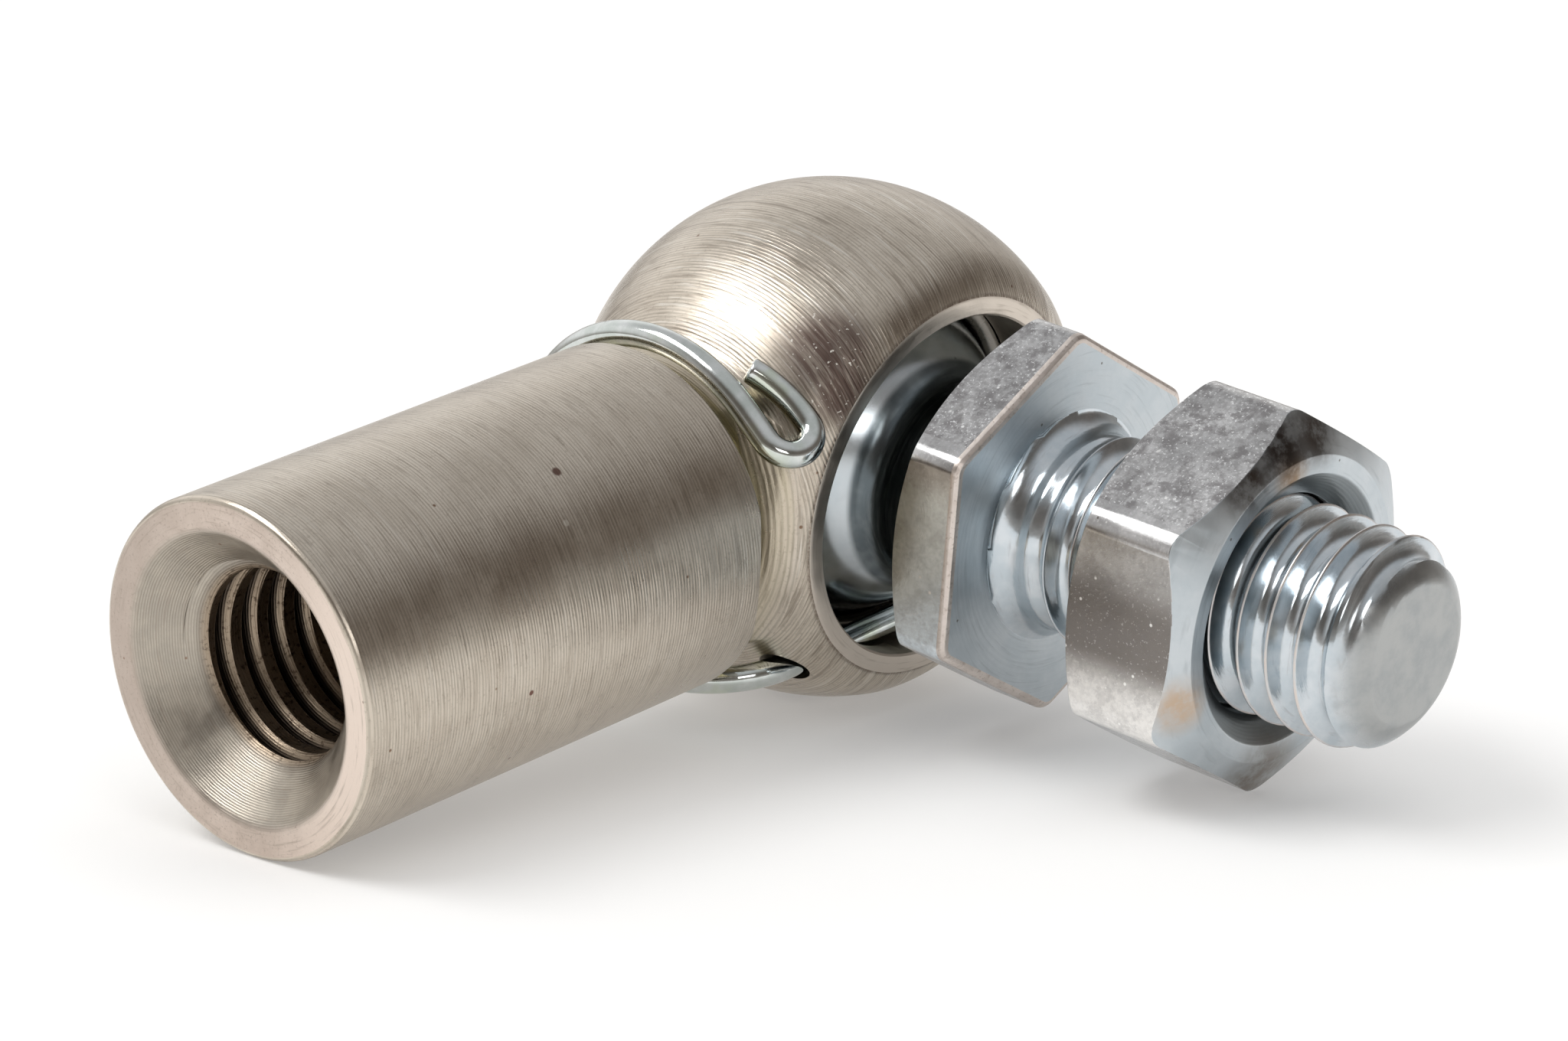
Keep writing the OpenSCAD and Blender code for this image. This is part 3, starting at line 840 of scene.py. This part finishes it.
def make_ring():
    finishes = [ring_steel()]
    bm = bmesh.new()
    start = Matrix.Translation((RING_R, 0, RING_OUT)) @ turn("X", 90)
    bmesh.ops.create_circle(bm, segments=24, radius=RING_WIRE_R, matrix=start)
    sweep = math.radians(RING_SWEEP)
    bmesh.ops.spin(bm, geom=bm.edges[:], cent=(0, 0, 0), axis=(0, 0, 1), angle=sweep, steps=120)
    bmesh.ops.holes_fill(bm, edges=[edge for edge in bm.edges if edge.is_boundary], sides=0)
    bmesh.ops.recalc_face_normals(bm, faces=bm.faces[:])
    bm.transform(TO_MOUTH @ turn("Z", RING_GAP_AT))
    return piece("spring_ring_wire", bm, finishes, "ring", "spring_ring", sharp=50)


# Bends of the clip, as on a bending machine: feed, roll, bend radius, bend angle, steps
LEG_BEND = math.sqrt(LEG_R ** 2 - BOW_R ** 2)
BOW_START = math.degrees(LEG_AT + math.acos(BOW_R / LEG_R))
CLIP_BENDS = [
    (LEG_END + BOW_AT - LEG_BEND, -BOW_START, LEG_BEND, 90, 20),
    (0, -90, BOW_R, 227, 96),
    (1.4, 102, LOOP_R, 180, 48),
    (0, 0, TAIL_CURVE, math.degrees(TAIL / TAIL_CURVE), 16),
]


def make_clip():
    finishes = [wire_zinc()]
    bm = bmesh.new()
    at = Matrix.Translation((LEG_END, -LEG_OUT, -LEG_DOWN)) @ TO_SHANK
    bmesh.ops.create_circle(bm, segments=32, radius=WIRE_R, matrix=at)
    rim = bm.edges[:]
    for feed, roll, bend, angle, steps in CLIP_BENDS:
        if feed:
            grown = bmesh.ops.extrude_edge_only(bm, edges=rim)["geom"]
            moved = verts_of(grown)
            bmesh.ops.translate(bm, verts=moved, vec=at.to_3x3() @ Vector((0, 0, feed)))
            rim = [e for e in edges_of(grown) if all(v in moved for v in e.verts)]
            at = at @ Matrix.Translation((0, 0, feed))
        at = at @ turn("Z", roll)
        grown = bmesh.ops.spin(
            bm, geom=rim, cent=at @ Vector((bend, 0, 0)), axis=at.to_3x3() @ Vector((0, 1, 0)),
            angle=math.radians(angle), steps=steps,
        )["geom_last"]
        rim = edges_of(grown)
        at = at @ Matrix.Translation((bend, 0, 0)) @ turn("Y", angle) @ Matrix.Translation((-bend, 0, 0))
    ends = [edge for edge in bm.edges if edge.is_boundary]
    bmesh.ops.holes_fill(bm, edges=ends, sides=0)
    bmesh.ops.recalc_face_normals(bm, faces=bm.faces[:])
    round_off(bm, ends, WIRE_EDGE, 3)
    return piece("safety_clip_wire", bm, finishes, "socket", "safety_clip", sharp=50)


make_socket()
make_stud()
make_nut()
make_ring()
make_clip()

# Floor, light and camera

FLOOR_GLOW = 0.25
FLOOR_COLOUR = colour(0.735, 0.73, 0.72)
NEAR_WALL = colour(0.16, 0.14, 0.125)
FAR_WALL = colour(1.05, 1.05, 1.05)
HORIZON = colour(0.40, 0.375, 0.35)
CEILING = colour(0.57, 0.575, 0.585)
FAR_WALL_WAY = (0.174, 0.985, 0.0)
LAMP_OUT = 1.2


def make_floor():
    """Pale floor, with a faint glow for the camera and for reflections, so that it shows white"""
    bm = bmesh.new()
    bmesh.ops.create_grid(bm, x_segments=1, y_segments=1, size=3.0)
    mesh = bpy.data.meshes.new("floor")
    bm.to_mesh(mesh)
    bm.free()
    pale = bpy.data.materials.new("pale_floor")
    pale.use_nodes = True
    nodes = Nodes(pale.node_tree)
    paper = nodes.tree.nodes["Principled BSDF"].inputs
    paths = nodes.add("ShaderNodeLightPath").outputs
    seen = nodes.sum("MAXIMUM", paths["Is Camera Ray"], paths["Is Glossy Ray"])
    seen = nodes.sum("MAXIMUM", seen, paths["Is Transmission Ray"])
    nodes.join(nodes.both(seen, FLOOR_GLOW), paper["Emission Strength"])
    paper["Base Color"].default_value = FLOOR_COLOUR
    paper["Emission Color"].default_value = colour(1, 1, 1)
    paper["Roughness"].default_value = 0.9
    paper["Specular IOR Level"].default_value = 0.0
    mesh.materials.append(pale)
    made = bpy.data.objects.new("floor", mesh)
    bpy.context.scene.collection.objects.link(made)


def make_world():
    """Soft room: pale behind the part, darker on the camera's side, an even ceiling"""
    world = bpy.data.worlds.new("soft_room")
    bpy.context.scene.world = world
    world.use_nodes = True
    room = Nodes(world.node_tree)
    parts = room.add("ShaderNodeSeparateXYZ")
    room.join(room.add("ShaderNodeTexCoord").outputs["Generated"], parts.inputs[0])
    east, north, up = parts.outputs
    level = room.add("ShaderNodeVectorMath", operation="NORMALIZE")
    room.join(room.vector(east, north, 0.0), level.inputs[0])
    facing = room.add("ShaderNodeVectorMath", operation="DOT_PRODUCT")
    room.join(level.outputs[0], facing.inputs[0])
    facing.inputs[1].default_value = FAR_WALL_WAY
    walls = room.blend(room.range(facing.outputs["Value"], -0.2, 0.95), NEAR_WALL, FAR_WALL)
    walls = room.blend(room.range(up, 0.30, 0.0), walls, HORIZON)
    light = room.blend(room.range(up, 0.46, 0.86), walls, CEILING)
    room.join(light, room.tree.nodes["Background"].inputs["Color"])


def make_lamp(name, azimuth, elevation, wide, high, power):
    lamp = bpy.data.lights.new(name, "AREA")
    lamp.shape = "RECTANGLE"
    lamp.size = wide
    lamp.size_y = high
    lamp.energy = power
    made = bpy.data.objects.new(name, lamp)
    around, up = math.radians(azimuth), math.radians(elevation)
    out = Vector((math.cos(around) * math.cos(up), math.sin(around) * math.cos(up), math.sin(up)))
    made.location = out * LAMP_OUT
    made.rotation_mode = "QUATERNION"
    made.rotation_quaternion = out.to_track_quat("Z", "Y")
    bpy.context.scene.collection.objects.link(made)
    return made


# Camera fitted to the picture: places in millimetres, focal length in picture points
IMAGE_WIDE = 2048
FOCAL_PIXELS = 7925.96
SENSOR_WIDE = 36.0
CAMERA_AT = Vector((-152.110921, -137.22695, 63.533093))
CAMERA_BACK = Vector((-0.714837, -0.651928, 0.25298))
CAMERA_UP = Vector((0.182231, 0.175601, 0.967448))


def make_camera():
    lens = bpy.data.cameras.new("camera")
    lens.sensor_width = SENSOR_WIDE
    lens.lens = FOCAL_PIXELS / IMAGE_WIDE * SENSOR_WIDE
    lens.clip_start = 0.01
    made = bpy.data.objects.new("camera", lens)
    axes = Matrix((CAMERA_UP.cross(CAMERA_BACK), CAMERA_UP, CAMERA_BACK)).transposed().to_4x4()
    made.matrix_world = Matrix.Translation(CAMERA_AT * MM) @ axes
    bpy.context.scene.collection.objects.link(made)
    bpy.context.scene.camera = made


make_floor()
make_world()
make_lamp("softbox", 146, 55, 0.85, 0.46, 6.4)
make_lamp("window", -115, 22, 0.42, 0.28, 1.2)
fill = make_lamp("fill", -86, 62, 1.5, 1.5, 5.5)
fill.visible_glossy = False
make_camera()
bpy.context.scene.view_settings.view_transform = "Standard"
